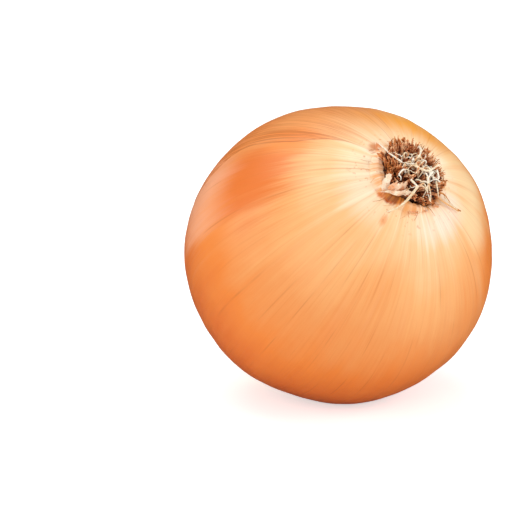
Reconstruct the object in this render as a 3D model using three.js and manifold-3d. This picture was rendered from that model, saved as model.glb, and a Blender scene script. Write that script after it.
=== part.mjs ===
// A whole yellow onion in its dry skin, lying on a table with its root end up and its neck down.
// The bulb stands in its own frame with the root at the bottom, the neck at the top and the widest
// ring at height 0. The group at the end leans it over and sets it down on its flat spot.
import * as THREE from "three";
import { mergeVertices } from "three/addons/utils/BufferGeometryUtils.js";
import Module from "manifold-3d";

// Driving dimensions, in millimetres and degrees
const bulbRadius = 40; // at the widest ring
const rootHeight = 38.6; // widest ring to root end
const neckHeight = 38.3; // widest ring to where the shoulder would close without a neck
const rootPower = 1.92; // fullness of the root side: 2 is a true oval
const offRound = 0.022; // the bulb is this share wider across than from belly to back
const lobes = { count: 7, depth: 0.2, phase: 0.6 };
const dents = { count: 3, depth: 0.25, phase: 2.1 };

const socket = { radius: 8.1, depth: 2.7, rimRadius: 9.5, lip: 0.5, lipDrop: 0.15 }; // holds the root plate
const socketFloor = -rootHeight + socket.depth;
const socketGap = 0.3;

const shoulder = { angle: 34, handle: 11 }; // from the axis, where the round turns in to the neck
const waist = { radius: 7.6, height: 43.2, handle: 6, flare: 0.2 }; // the neck's narrowest ring
const neckTip = { radius: 6.4, height: 50.6 };
// The cut across the tip, as [share of its radius, height above its edge]
const neckCut = [
  [0.8, 0.5],
  [0.45, -0.3],
  [0, 0.2],
];
const neckBend = { start: 37, shift: 2.9 }; // the tip bends up off the table by this much
const pleats = { count: 13, depth: 0.62, start: 28, full: 43, twist: 22, uneven: 1.6 };

const lean = 42; // the axis points this far below level at the neck, and above it at the root
const restHeight = 37.55; // the widest ring's centre above the table, which leaves a small flat spot
const tableBlock = { width: 200, depth: 30 }; // cuts that flat spot
const sliver = 0.02; // detail below this is too small to see

const ringSteps = 60; // steps round the bulb
const rings = { root: 15, shoulder: 9, sweep: 9, neck: 4 }; // rings of faces up its outline
const seeds = { neck: 11, flaps: 4, stubs: 23 };

// Dry shreds of skin round the cut neck: an outer collar part way up, and inner layers at the tip
const collar = { count: 8, height: 45.8, radius: 7.0, length: 4.4, width: 5.6, splay: 15 };
const tipShreds = { count: 7, height: 50.2, radius: 4.9, length: 3.6, width: 4.4, splay: 9 };
const innerShreds = { count: 4, height: 50.2, radius: 2.4, length: 2.8, width: 3.0, splay: 4 };
const shredBlade = { thickness: 0.65, sunk: 2.2 };

// Torn skin that stands up round the root plate: [direction, width, length, lift from the skin], in
// degrees and millimetres
const flaps = [
  [152, 6.4, 4.6, 60],
  [180, 4.8, 4.2, 50],
  [105, 3.6, 3.4, 52],
  [216, 3.6, 3.0, 30],
  [246, 2.8, 2.4, 24],
  [310, 3.0, 2.4, 24],
  [18, 3.2, 2.6, 26],
];
const flapBlade = { footRadius: 10.1, seat: 0.3, sunk: 0.9, thickness: 0.65, bow: 0.09, curl: 0.06 };
const flapRoom = { side: 1, inner: 1.6, outer: 1.2, above: 0.4, before: 1.3 }; // kept free of roots

// The root plate and its dry root stubs, which reach out in uneven clumps: [direction, reach]
const plate = { foot: 7.5, radius: 7.8, brim: 8.5, brimLift: 0.8, crown: 2.6, lumps: 0.5, rings: 4 };
const stubs = { count: 108, spread: 8.2, length: [2.6, 4.4], base: 0.78, tip: 0.33, fan: 58 };
const fanByFlap = 26; // stubs in front of a flap fan out less, in degrees
const clumps = [
  [-180, 9.2],
  [-143, 10.4],
  [-118, 9.0],
  [-86, 11.2],
  [-68, 10.2],
  [-48, 8.4],
  [-16, 10.4],
  [4, 8.6],
  [34, 10.4],
  [70, 10.3],
  [102, 9.2],
  [150, 9.2],
];
const skinClearance = 0.5;

// Long pale roots over the tuft and the skin, each as a thickness and the points it passes:
// [direction, radius, height above the root end]
const longRoots = [
  [1.05, [128, 4.4, 2.6], [110, 6.3, 4.4], [116, 8.2, 3.6], [122, 10.6, 1.6], [131, 13.6, -0.4]],
  [0.85, [200, 3.6, 3.2], [215, 5.9, 4.3], [236, 9.0, 2.6], [252, 12.2, 0.0], [255, 14.0, -1.0]],
  [0.8, [-60, 1.4, 3.2], [-56, 3.2, 4.8], [-53, 6.2, 3.8], [-50, 7.6, 3.6]],
  [0.9, [170, 1.6, 3.4], [92, 1.8, 5.2], [41, 3.3, 5.0], [8, 6.6, 4.0], [2, 8.4, 3.4]],
  [0.8, [70, 3.5, 3.2], [80, 5.8, 4.2], [80, 7.9, 3.2], [81, 10.4, 1.0]],
  [0.75, [50, 5.2, 3.0], [57, 7.4, 3.4], [60, 9.6, 1.6], [59, 11.2, 0.2]],
  [0.75, [40, 6.4, 1.8], [48, 9.2, 1.6], [44, 12.6, 0.0], [39, 16.4, -1.9]],
  [0.7, [36, 6.6, 2.0], [40, 9.6, 1.7], [37, 13.2, -0.2], [37, 17.0, -2.2]],
  [0.8, [30, 4.0, 3.4], [62, 4.0, 5.2], [84, 5.0, 4.4], [98, 6.2, 3.4]],
  [0.7, [-95, 5.2, 2.6], [-104, 8.2, 3.4], [-97, 11.2, 1.2], [-92, 12.8, 0.2]],
  [0.7, [-14, 4.8, 3.0], [-22, 7.6, 3.6], [-18, 10.6, 1.6], [-12, 12.2, 0.4]],
];

const wasm = await Module();
wasm.setup();

const degrees = THREE.MathUtils.degToRad;
const mix = THREE.MathUtils.lerp;
const smooth = THREE.MathUtils.smoothstep;

function randomFrom(seed) {
  let state = seed * 7919 + 17;
  return (low = 0, high = 1) => {
    state = (Math.imul(state, 1664525) + 1013904223) >>> 0;
    return low + (high - low) * (state / 4294967296);
  };
}

function solidOf(geometry) {
  const bare = geometry.index ? geometry.toNonIndexed() : geometry.clone();
  bare.deleteAttribute("normal");
  bare.deleteAttribute("uv");
  const merged = mergeVertices(bare, 1e-4);
  const mesh = new wasm.Mesh({
    numProp: 3,
    vertProperties: merged.attributes.position.array,
    triVerts: new Uint32Array(merged.index.array),
  });
  const solid = new wasm.Manifold(mesh);
  if (solid.volume() <= 0) throw new Error("a piece is inside out");
  return solid;
}

function geometryOf(solid) {
  const mesh = solid.getMesh();
  const stride = mesh.numProp;
  const places = new Float32Array(mesh.numVert * 3);
  for (let i = 0; i < mesh.numVert; i++) {
    places.set(mesh.vertProperties.subarray(i * stride, i * stride + 3), i * 3);
  }
  const geometry = new THREE.BufferGeometry();
  geometry.setAttribute("position", new THREE.BufferAttribute(places, 3));
  geometry.setIndex(new THREE.BufferAttribute(mesh.triVerts, 1));
  geometry.computeVertexNormals();
  return geometry;
}

function joined(solids) {
  return solids.reduce((whole, next) => whole.add(next));
}

// Takes off slivers too small to see, and fills the pockets that pieces close off between them,
// whose shells are inside out
function tidied(solid) {
  const shells = solid.simplify(sliver).decompose();
  return joined(shells.filter((shell) => shell.volume() > 0));
}

// Moves every vertex of a geometry to where the function puts it
function reshaped(geometry, place) {
  const position = geometry.attributes.position;
  const point = new THREE.Vector3();
  for (let i = 0; i < position.count; i++) {
    point.fromBufferAttribute(position, i);
    place(point);
    position.setXYZ(i, point.x, point.y, point.z);
  }
  return geometry;
}

// The bulb's half outline, as points of (radius, height) from the root plate's socket to the neck's tip
function bulbOutline() {
  const rim = rootRise(socket.rimRadius);
  const points = [
    new THREE.Vector2(0, socketFloor),
    new THREE.Vector2(socket.radius, socketFloor),
    new THREE.Vector2(socket.rimRadius - socket.lip, rim + socket.lipDrop),
  ];

  const rimAngle = Math.asin(socket.rimRadius / bulbRadius);
  for (let i = 0; i <= rings.root; i++) {
    const radius = bulbRadius * Math.sin(mix(rimAngle, Math.PI / 2, i / rings.root));
    points.push(new THREE.Vector2(radius, rootRise(radius)));
  }

  const shoulderTurn = degrees(shoulder.angle);
  for (let i = 1; i <= rings.shoulder; i++) {
    const angle = mix(Math.PI / 2, shoulderTurn, i / rings.shoulder);
    points.push(
      new THREE.Vector2(bulbRadius * Math.sin(angle), neckHeight * Math.cos(angle)),
    );
  }

  const sweepStart = points.at(-1);
  const along = new THREE.Vector2(
    -bulbRadius * Math.cos(shoulderTurn),
    neckHeight * Math.sin(shoulderTurn),
  ).normalize();
  const sweep = new THREE.CubicBezierCurve(
    sweepStart,
    sweepStart.clone().addScaledVector(along, shoulder.handle),
    new THREE.Vector2(waist.radius + waist.flare, waist.height - waist.handle),
    new THREE.Vector2(waist.radius, waist.height),
  );
  points.push(...sweep.getPoints(rings.sweep).slice(1));

  for (let i = 1; i <= rings.neck; i++) {
    const share = i / rings.neck;
    points.push(
      new THREE.Vector2(
        mix(waist.radius, neckTip.radius, share),
        mix(waist.height, neckTip.height, share),
      ),
    );
  }
  for (const [share, lift] of neckCut) {
    points.push(new THREE.Vector2(neckTip.radius * share, neckTip.height + lift));
  }
  return points;
}

// Height of the root side at a radius
function rootRise(radius) {
  const share = Math.min(radius / bulbRadius, 1);
  return -rootHeight * (1 - share ** rootPower) ** (1 / rootPower);
}

// How far the neck's centre line has bent towards the bulb's back at a height
function bendAt(height) {
  const share = Math.max(0, (height - neckBend.start) / (neckTip.height - neckBend.start));
  return neckBend.shift * share ** 2;
}

// The living shape: off round, softly lobed, and drawn into twisted pleats towards the neck
function grow(point) {
  const radius = Math.hypot(point.x, point.y);
  const angle = Math.atan2(point.y, point.x);
  const height = point.z;
  const body = smooth(radius, 4, 22) * (1 - smooth(height, 26, 44));
  const drawn = smooth(height, pleats.start, pleats.full);
  const turned = angle + degrees(pleats.twist) * smooth(height, 34, 52);
  const fold =
    Math.cos(pleats.count * turned + pleats.uneven * Math.sin(2 * turned)) *
    (0.75 + 0.25 * Math.sin(3 * turned + 1));
  const swell =
    lobes.depth * Math.cos(lobes.count * angle + lobes.phase) +
    dents.depth * Math.cos(dents.count * angle + dents.phase + height / 30);
  const wide = 1 + offRound * Math.cos(2 * angle) * body;
  const inner = smooth(radius, 1.5, 5);
  const grown = radius * wide + swell * body + pleats.depth * fold * drawn * inner;
  point.x = grown * Math.cos(angle);
  point.y = grown * Math.sin(angle) - bendAt(height);
}

function bulbBody() {
  const lathe = new THREE.LatheGeometry(bulbOutline(), ringSteps);
  lathe.rotateX(Math.PI / 2);
  return reshaped(lathe, grow);
}

// A dry shred: a thin blade with a torn edge that stands on the neck and splays outwards
function shred(ring, angle, length, width, random) {
  const shape = new THREE.Shape();
  shape.moveTo(-width / 2, -shredBlade.sunk);
  shape.lineTo(width / 2, -shredBlade.sunk);
  shape.lineTo(width * random(0.44, 0.52), length * random(0.3, 0.75));
  shape.lineTo(width * random(0.24, 0.32), length * random(0.35, 0.6));
  shape.lineTo(width * random(0.06, 0.16), length * random(0.8, 1.05));
  shape.lineTo(-width * random(0.04, 0.12), length * random(0.45, 0.7));
  shape.lineTo(-width * random(0.22, 0.34), length * random(0.7, 1.0));
  shape.lineTo(-width * random(0.42, 0.5), length * random(0.25, 0.5));
  const blade = new THREE.ExtrudeGeometry(shape, {
    depth: shredBlade.thickness,
    bevelEnabled: false,
  });
  const splay = degrees(ring.splay * random(0.5, 1.5));
  return reshaped(blade, (point) => {
    const across = point.x / ring.radius;
    const up = point.y;
    const inside = point.z - shredBlade.thickness / 2;
    const out = ring.radius + inside + Math.max(0, up) * Math.tan(splay);
    const height = ring.height + up;
    point.set(
      -out * Math.sin(across - angle),
      out * Math.cos(across - angle) - bendAt(height),
      height,
    );
  });
}

function shredRing(ring, random) {
  const blades = [];
  for (let i = 0; i < ring.count; i++) {
    const angle = ((i + random(-0.25, 0.25)) / ring.count) * 2 * Math.PI;
    const length = ring.length * random(0.55, 1.1);
    const width = ring.width * random(0.75, 1.15);
    blades.push(solidOf(shred(ring, angle, length, width, random)));
  }
  return blades;
}

// A torn flap of skin, which rises from the socket's rim and curls over at its end
function flap([direction, width, length, lift], random) {
  const shape = new THREE.Shape();
  shape.moveTo(-width / 2, -flapBlade.sunk);
  shape.lineTo(width / 2, -flapBlade.sunk);
  shape.lineTo(width * 0.52, length * 0.35);
  shape.lineTo(width * random(0.3, 0.45), length * 0.7);
  shape.lineTo(width * random(0.05, 0.2), length);
  shape.lineTo(-width * random(0.15, 0.25), length * random(0.78, 0.9));
  shape.lineTo(-width * random(0.38, 0.48), length * 0.6);
  shape.lineTo(-width * 0.54, length * 0.3);
  const blade = new THREE.ExtrudeGeometry(shape, {
    depth: flapBlade.thickness,
    bevelEnabled: false,
  });
  const angle = degrees(direction);
  const rise = degrees(lift);
  return reshaped(blade, (point) => {
    const bow = flapBlade.bow * point.x ** 2;
    const along = Math.max(0, point.y);
    const curl = (flapBlade.curl * along ** 2) / Math.max(1, length / 4);
    const radius = flapBlade.footRadius + point.y * Math.cos(rise) - curl - bow * 0.35;
    const foot = rootRise(flapBlade.footRadius) + flapBlade.seat;
    const height = foot - point.y * Math.sin(rise) - curl * 0.4 + bow * 0.3 - point.z;
    const across = point.x;
    point.set(
      radius * Math.cos(angle) - across * Math.sin(angle),
      radius * Math.sin(angle) + across * Math.cos(angle),
      height,
    );
  });
}

// A root: a tapering rod bent onto a curve, with its ends closed
function rod(curve, baseRadius, tipRadius, sides, steps) {
  const rodGeometry = new THREE.CylinderGeometry(tipRadius, baseRadius, 1, sides, steps);
  const frames = curve.computeFrenetFrames(steps, false);
  return reshaped(rodGeometry, (point) => {
    const share = point.y + 0.5;
    const step = Math.round(share * steps);
    const centre = curve.getPoint(share);
    const across = point.x;
    const over = point.z;
    point
      .copy(centre)
      .addScaledVector(frames.normals[step], across)
      .addScaledVector(frames.binormals[step], -over);
  });
}

// The lowest place (towards the bulb) that a root of some thickness may take over a point: clear of
// the skin, and of the flaps that stand up from it
function clearOfSkin(radius, angle, thickness) {
  let cover = rootRise(Math.max(radius, socket.rimRadius));
  for (const [direction, width, length, lift] of flaps) {
    const turn = angle - degrees(direction);
    const outward = radius * Math.cos(turn) - flapBlade.footRadius;
    const across = Math.abs(radius * Math.sin(turn));
    const spread = length * Math.cos(degrees(lift));
    const beside = across > width / 2 + flapRoom.side;
    if (beside || outward < -flapRoom.inner || outward > spread + flapRoom.outer) continue;
    const climb = Math.max(flapRoom.side, outward + flapRoom.side) / Math.cos(degrees(lift));
    const top = Math.min(length, climb) * Math.sin(degrees(lift));
    cover = Math.min(cover, rootRise(flapBlade.footRadius) - top - flapBlade.thickness - flapRoom.above);
  }
  return cover - skinClearance - thickness;
}

// How far out a short stub may reach in some direction: in front of a flap it stays inside it
function reachLimit(angle) {
  const facing = flaps.some(([direction, width]) => {
    const turn = angle - degrees(direction);
    const across = Math.abs(flapBlade.footRadius * Math.sin(turn));
    return across < width / 2 + flapRoom.side && Math.cos(turn) > 0;
  });
  return facing ? flapBlade.footRadius - flapRoom.before : Infinity;
}

// How far the tuft reaches out in a direction
function clumpReach(angle) {
  const turn = THREE.MathUtils.euclideanModulo(THREE.MathUtils.radToDeg(angle) + 180, 360) - 180;
  const next = clumps.findIndex(([direction]) => direction > turn);
  const [toDirection, toReach] = next < 0 ? [180, clumps[0][1]] : clumps[next];
  const [fromDirection, fromReach] = clumps.at(next < 0 ? -1 : next - 1);
  return mix(fromReach, toReach, smooth(turn, fromDirection, toDirection));
}

function stub(index, random) {
  const share = ((index + 0.5) / stubs.count) ** 0.43;
  const goldenTurn = Math.PI * (3 - Math.sqrt(5));
  const angle = index * goldenTurn + random(-0.2, 0.2);
  const reachOut = clumpReach(angle);
  const foot = Math.min(stubs.spread, reachOut - 1.4) * share;
  const room = reachLimit(angle);
  const fan = room === Infinity ? stubs.fan : fanByFlap;
  const leanOut = degrees(10 + fan * share ** 1.5 + random(-13, 13));
  const length = random(...stubs.length) * (1.12 - 0.22 * share);
  const side = random(-1.3, 1.3);
  const thick = stubs.base * random(0.75, 1.15);
  const limit = Math.min(reachOut, room - thick);
  const start = -rootHeight + mix(0.4, 0.8, share);
  const points = [0, 0.35, 0.7, 1].map((t) => {
    const outward = foot + length * t * Math.sin(leanOut) + 0.5 * t * t;
    const reach = Math.min(outward, limit + 0.1 * t);
    const turn = angle + (side * t * t) / Math.max(4, foot + 2);
    const crown = (plate.crown - 0.7) * Math.sqrt(1 - share ** 2 * 0.9);
    const height = start - crown - length * t * Math.cos(leanOut) - 0.5 * Math.sin(Math.PI * t);
    const lowest = clearOfSkin(reach, turn, thick);
    return new THREE.Vector3(
      reach * Math.cos(turn),
      reach * Math.sin(turn),
      reach > plate.foot ? Math.min(height, lowest) : height,
    );
  });
  const curve = new THREE.CatmullRomCurve3(points);
  return solidOf(rod(curve, thick, stubs.tip * random(0.8, 1.2), 5, 3));
}

function longRoot([thickness, ...path]) {
  const points = path.map(([direction, radius, rise]) => {
    const angle = degrees(direction);
    const lowest = clearOfSkin(radius, angle, thickness / 2);
    const height = -rootHeight - rise;
    return new THREE.Vector3(
      radius * Math.cos(angle),
      radius * Math.sin(angle),
      radius > plate.radius ? Math.min(height, lowest) : height,
    );
  });
  const curve = new THREE.CatmullRomCurve3(points);
  return solidOf(rod(curve, thickness / 2, thickness * 0.34, 5, 2 * path.length));
}

// The corky root plate: a low lumpy dome whose foot sits in the socket and whose brim hides the rim
function rootPlate() {
  const floor = socketFloor - socketGap;
  const brimHeight = rootRise(socket.rimRadius) - plate.brimLift;
  const outline = [new THREE.Vector2(0, -rootHeight - plate.crown)];
  for (let i = 1; i <= plate.rings; i++) {
    const angle = (i / plate.rings) * (Math.PI / 2);
    outline.push(
      new THREE.Vector2(
        plate.brim * Math.sin(angle),
        brimHeight - (plate.crown + rootHeight + brimHeight) * Math.cos(angle),
      ),
    );
  }
  outline.push(new THREE.Vector2(plate.foot, brimHeight + 0.5));
  outline.push(new THREE.Vector2(plate.foot, floor));
  outline.push(new THREE.Vector2(0, floor));
  const dome = new THREE.LatheGeometry(outline, 20);
  dome.rotateX(Math.PI / 2);
  return reshaped(dome, (point) => {
    const angle = Math.atan2(point.y, point.x);
    const lump = Math.sin(5 * angle + 1) * Math.cos(0.9 * point.x) + Math.sin(1.1 * point.y);
    if (point.z < brimHeight + 0.1) point.z -= plate.lumps * (lump + 1);
  });
}

// The table's top as a block below it, in the bulb's own frame
function tableTop(placing) {
  const block = new THREE.BoxGeometry(tableBlock.width, tableBlock.width, tableBlock.depth);
  block.translate(0, 0, -restHeight - tableBlock.depth / 2);
  block.applyMatrix4(placing.clone().invert());
  return solidOf(block);
}

const leaning = new THREE.Matrix4().makeRotationX(-degrees(90 + lean));

function makeBulb() {
  const neckRandom = randomFrom(seeds.neck);
  const flapRandom = randomFrom(seeds.flaps);
  const pieces = [
    solidOf(bulbBody()),
    ...shredRing(collar, neckRandom),
    ...shredRing(tipShreds, neckRandom),
    ...shredRing(innerShreds, neckRandom),
    ...flaps.map((each) => solidOf(flap(each, flapRandom))),
  ];
  const solid = tidied(joined(pieces).subtract(tableTop(leaning)));
  const skin = new THREE.MeshStandardMaterial({ color: 0xe3914a, roughness: 0.42 });
  const bulb = new THREE.Mesh(geometryOf(solid), skin);
  bulb.name = "bulb";
  return bulb;
}

function makeRootTuft() {
  const random = randomFrom(seeds.stubs);
  const pieces = [solidOf(rootPlate())];
  for (let i = 0; i < stubs.count; i++) pieces.push(stub(i, random));
  pieces.push(...longRoots.map(longRoot));
  const dry = new THREE.MeshStandardMaterial({ color: 0x6b4630, roughness: 0.95 });
  const tuft = new THREE.Mesh(geometryOf(tidied(joined(pieces))), dry);
  tuft.name = "root_tuft";
  return tuft;
}

// Leans the onion over and sets it down, with the middle of its box over the frame's origin
const onion = new THREE.Group();
onion.add(makeBulb(), makeRootTuft());
onion.setRotationFromMatrix(leaning);
onion.updateMatrixWorld(true);
const middle = new THREE.Box3().setFromObject(onion, true).getCenter(new THREE.Vector3());
onion.position.set(-middle.x, -middle.y, restHeight);

export default onion;
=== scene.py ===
import bpy
import bmesh
import random
from math import asin, atan2, cos, degrees, exp, hypot, pi, radians, sin, sqrt, tan
from mathutils import Matrix, Vector, geometry, noise


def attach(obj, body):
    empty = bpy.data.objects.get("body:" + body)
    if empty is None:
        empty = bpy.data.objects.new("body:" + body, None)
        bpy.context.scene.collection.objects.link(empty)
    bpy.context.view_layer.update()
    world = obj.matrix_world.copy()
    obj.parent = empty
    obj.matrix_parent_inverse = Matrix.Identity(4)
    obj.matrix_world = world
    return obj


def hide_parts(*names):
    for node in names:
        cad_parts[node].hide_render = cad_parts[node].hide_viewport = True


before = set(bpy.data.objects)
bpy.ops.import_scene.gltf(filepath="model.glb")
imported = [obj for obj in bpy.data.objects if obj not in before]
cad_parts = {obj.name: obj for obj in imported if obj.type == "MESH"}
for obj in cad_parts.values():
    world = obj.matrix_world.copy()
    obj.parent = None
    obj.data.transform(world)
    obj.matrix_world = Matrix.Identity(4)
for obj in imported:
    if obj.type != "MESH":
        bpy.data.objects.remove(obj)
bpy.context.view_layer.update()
print("frame loaded")

# The onion stands in its own space, in millimetres: root end down, neck up, widest ring at height 0.
# toFrame leans it over and sets it down where the frame has it.
placing = {
    "centre": (0.0, -0.00343, 0.03755),  # the widest ring's middle, in the frame's metres
    "lean": 42,  # degrees that the neck points below level
}
leaning = Matrix.Rotation(-radians(90 + placing["lean"]), 4, "X")
toFrame = Matrix.Translation(placing["centre"]) @ leaning @ Matrix.Scale(0.001, 4)

# Camera: a long lens a little above the table, at the front left
view = {
    "azimuth": -35.6,
    "elevation": 14,
    "distance": 0.6,  # from the middle of the bulb
    "pixelsPerMillimetre": 3.854,  # at the middle of the bulb
    "imageSize": 515,
    "bulbPixel": (340.3, 252.7),  # where the middle of the bulb shows
    "sensor": 36,
}


def addObject(name, data):
    made = bpy.data.objects.new(name, data)
    bpy.context.collection.objects.link(made)
    return made


def makeCamera():
    turn, rise = radians(view["azimuth"]), radians(view["elevation"])
    back = Vector((sin(turn) * cos(rise), -cos(turn) * cos(rise), sin(rise)))
    right = Vector((cos(turn), sin(turn), 0))
    up = back.cross(right)
    middle = view["imageSize"] / 2
    scale = view["pixelsPerMillimetre"] * 1000
    offRight = (view["bulbPixel"][0] - middle) / scale
    offUp = (middle - view["bulbPixel"][1]) / scale
    aim = Vector(placing["centre"]) - right * offRight - up * offUp
    data = bpy.data.cameras.new("camera")
    camera = addObject("camera", data)
    camera.location = Vector(placing["centre"]) + back * view["distance"]
    camera.rotation_euler = (camera.location - aim).to_track_quat("Z", "Y").to_euler()
    data.sensor_width = view["sensor"]
    data.lens = view["sensor"] * view["distance"] * scale / view["imageSize"]
    data.clip_end = 20
    bpy.context.scene.camera = camera


makeCamera()
print("camera set")


# Small helpers for node trees
def addNode(tree, kind, inputs=None, **settings):
    made = tree.nodes.new("ShaderNode" + kind)
    for name, value in settings.items():
        setattr(made, name, value)
    for name, value in (inputs or {}).items():
        if isinstance(value, bpy.types.NodeSocket):
            tree.links.new(value, made.inputs[name])
        else:
            made.inputs[name].default_value = value
    return made


def useGroup(tree, group, inputs=None):
    return addNode(tree, "Group", inputs, node_tree=group).outputs


def attribute(tree, name):
    return addNode(tree, "Attribute", attribute_name=name).outputs["Fac"]


def maths(tree, operation, first, second=0.0, third=0.0):
    return addNode(tree, "Math", {0: first, 1: second, 2: third}, operation=operation).outputs[0]


def times(tree, product, *others):
    for other in others:
        product = maths(tree, "MULTIPLY", product, other)
    return product


def swayed(tree, pattern, reach, base=0.0):  # the base, moved both ways by a pattern that runs from 0 to 1
    return maths(tree, "MULTIPLY_ADD", maths(tree, "SUBTRACT", pattern, 0.5), reach, base)


def smoothStep(tree, value, low, high, toLow=0.0, toHigh=1.0):
    inputs = {"Value": value, "From Min": low, "From Max": high, "To Min": toLow, "To Max": toHigh}
    return addNode(tree, "MapRange", inputs, interpolation_type="SMOOTHSTEP").outputs[0]


def noiseAt(tree, place, scale, detail=3.0, roughness=0.5):
    inputs = {"Vector": place, "Scale": scale, "Detail": detail, "Roughness": roughness}
    return addNode(tree, "TexNoise", inputs).outputs[0]


def mixColour(tree, share, first, second):
    return addNode(tree, "Mix", {0: share, 6: first, 7: second}, data_type="RGBA").outputs[2]


def colour(*levels):
    shares = [level / 255 for level in levels]
    return (*(share / 12.92 if share <= 0.04045 else ((share + 0.055) / 1.055) ** 2.4 for share in shares), 1)


def addRamp(tree, value, stops):
    ramp = addNode(tree, "ValToRGB", {0: value})
    elements = ramp.color_ramp.elements
    for element, (place, tint) in zip(elements, (stops[0], stops[-1])):
        element.position = place
        element.color = tint
    for place, tint in stops[1:-1]:
        elements.new(place).color = tint
    return ramp.outputs[0]


def socketKind(name):
    return "NodeSocketVector" if name == "Local" else "NodeSocketFloat"


def newGroup(name, inputs, outputs):
    group = bpy.data.node_groups.new(name, "ShaderNodeTree")
    for socketName, value in inputs.items():
        socket = group.interface.new_socket(socketName, in_out="INPUT", socket_type=socketKind(socketName))
        if value is not None:
            socket.default_value = value
    for socketName in outputs:
        group.interface.new_socket(socketName, in_out="OUTPUT", socket_type=socketKind(socketName))
    return group, group.nodes.new("NodeGroupInput").outputs, group.nodes.new("NodeGroupOutput").inputs


def putOut(group, out, values):
    for name, value in values.items():
        group.links.new(value, out[name])
    return group


def newMaterial(name, **values):
    material = bpy.data.materials.new(name)
    material.use_nodes = True
    tree = material.node_tree
    shader = tree.nodes["Principled BSDF"]
    for socket, value in values.items():
        shader.inputs[socket.replace("_", " ")].default_value = value
    return material, tree, shader


def finishShader(tree, shader, tint, roughness, relief, strength):
    bump = addNode(tree, "Bump", {"Height": relief, "Strength": strength, "Distance": 0.0002})
    tree.links.new(tint, shader.inputs["Base Color"])
    tree.links.new(roughness, shader.inputs["Roughness"])
    tree.links.new(bump.outputs[0], shader.inputs["Normal"])


# Where a point lies on the onion, in its own space: millimetres, and degrees round it and from the root
def makeOnionPlace():
    group, _, out = newGroup("onionPlace", {}, ["Local", "Round", "Polar", "Radius", "Height"])
    inputs = {
        "Vector": addNode(group, "TexCoord").outputs["Object"],
        "Location": placing["centre"],
        "Rotation": (-radians(90 + placing["lean"]), 0, 0),
        "Scale": (0.001, 0.001, 0.001),
    }
    local = addNode(group, "Mapping", inputs, vector_type="TEXTURE").outputs[0]
    x, y, z = addNode(group, "SeparateXYZ", {0: local}).outputs
    radius = maths(group, "SQRT", maths(group, "ADD", times(group, x, x), times(group, y, y)))
    values = {
        "Local": local,
        "Round": maths(group, "DEGREES", maths(group, "ARCTAN2", y, x)),
        "Polar": maths(group, "DEGREES", maths(group, "ARCTAN2", radius, times(group, z, -1.0))),
        "Radius": radius,
        "Height": z,
    }
    return putOut(group, out, values)


# Grain that runs from root to neck: broad streaks, fine fibres and thin veins that never cross
def makeSkinGrain():
    inputs = {
        "Local": None,
        "Round": 0.0,
        "Radius": 0.0,
        "Streaks Round": 9.0,
        "Fibres Round": 70.0,
        "Veins": 38.0,
        "Vein Width": 0.3,
        "Along": 0.02,
    }
    group, given, out = newGroup("skinGrain", inputs, ["Streak", "Fibre", "Vein", "Fine Vein"])
    x, y, z = addNode(group, "SeparateXYZ", {0: given["Local"]}).outputs
    flat = addNode(group, "CombineXYZ", {0: x, 1: y}).outputs[0]
    ring = addNode(group, "VectorMath", {0: flat}, operation="NORMALIZE").outputs[0]
    wander = noiseAt(group, given["Local"], 0.045, 1.0)

    def ringNoise(scale, along, wobble, detail):
        around = addNode(group, "VectorMath", {0: ring, "Scale": scale}, operation="SCALE").outputs[0]
        lift = maths(group, "MULTIPLY_ADD", z, along, times(group, wander, wobble))
        up = addNode(group, "CombineXYZ", {2: lift}).outputs[0]
        place = addNode(group, "VectorMath", {0: around, 1: up}, operation="ADD").outputs[0]
        return noiseAt(group, place, 1.0, detail)

    def veinLines(count, width, unevenness, scale):
        uneven = times(group, ringNoise(scale, along=0.002, wobble=0.05, detail=0.0), unevenness)
        turns = maths(group, "DIVIDE", given["Round"], 360.0)
        placed = maths(group, "FRACT", maths(group, "MULTIPLY_ADD", turns, count, uneven))
        away = maths(group, "ABSOLUTE", maths(group, "SUBTRACT", placed, 0.5))
        spacing = maths(group, "DIVIDE", times(group, given["Radius"], 2 * pi), count)
        line = smoothStep(group, times(group, away, spacing), width, 0.0)
        breaks = ringNoise(14.0, along=0.1, wobble=0.0, detail=1.0)
        return times(group, line, smoothStep(group, breaks, 0.42, 0.68, 0.04, 1.0))

    along, veins, width = given["Along"], given["Veins"], given["Vein Width"]
    values = {
        "Streak": ringNoise(given["Streaks Round"], along, wobble=1.2, detail=2.0),
        "Fibre": ringNoise(given["Fibres Round"], times(group, along, 5.0), wobble=2.0, detail=3.0),
        "Vein": veinLines(veins, width, unevenness=3.0, scale=1.2),
        "Fine Vein": veinLines(times(group, veins, 3.0), times(group, width, 0.6), unevenness=6.0, scale=2.0),
    }
    return putOut(group, out, values)


# A soft oval patch at a place on the onion
blotchInputs = {
    "Round": 0.0,
    "Polar": 0.0,
    "At Round": 0.0,
    "At Polar": 0.0,
    "Half Width": 10.0,
    "Half Height": 10.0,
    "Ragged": 0.0,
    "Full To": 0.15,
}


def makeBlotch():
    group, given, out = newGroup("blotch", blotchInputs, ["Mask"])
    turn = maths(group, "SUBTRACT", given["Round"], given["At Round"])
    across = maths(group, "DIVIDE", maths(group, "WRAP", turn, 180.0, -180.0), given["Half Width"])
    rise = maths(group, "SUBTRACT", given["Polar"], given["At Polar"])
    along = maths(group, "DIVIDE", rise, given["Half Height"])
    away = maths(group, "SQRT", maths(group, "ADD", times(group, across, across), times(group, along, along)))
    away = maths(group, "ADD", away, given["Ragged"])
    return putOut(group, out, {"Mask": smoothStep(group, away, 1.25, given["Full To"])})


onionPlace = makeOnionPlace()
skinGrain = makeSkinGrain()
blotch = makeBlotch()
print("shader groups built")


def blotchMask(tree, round_, polar, at, size, ragged=0.0, fullTo=0.15):
    values = (round_, polar, *at, *size, ragged, fullTo)
    return useGroup(tree, blotch, dict(zip(blotchInputs, values)))["Mask"]


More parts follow.
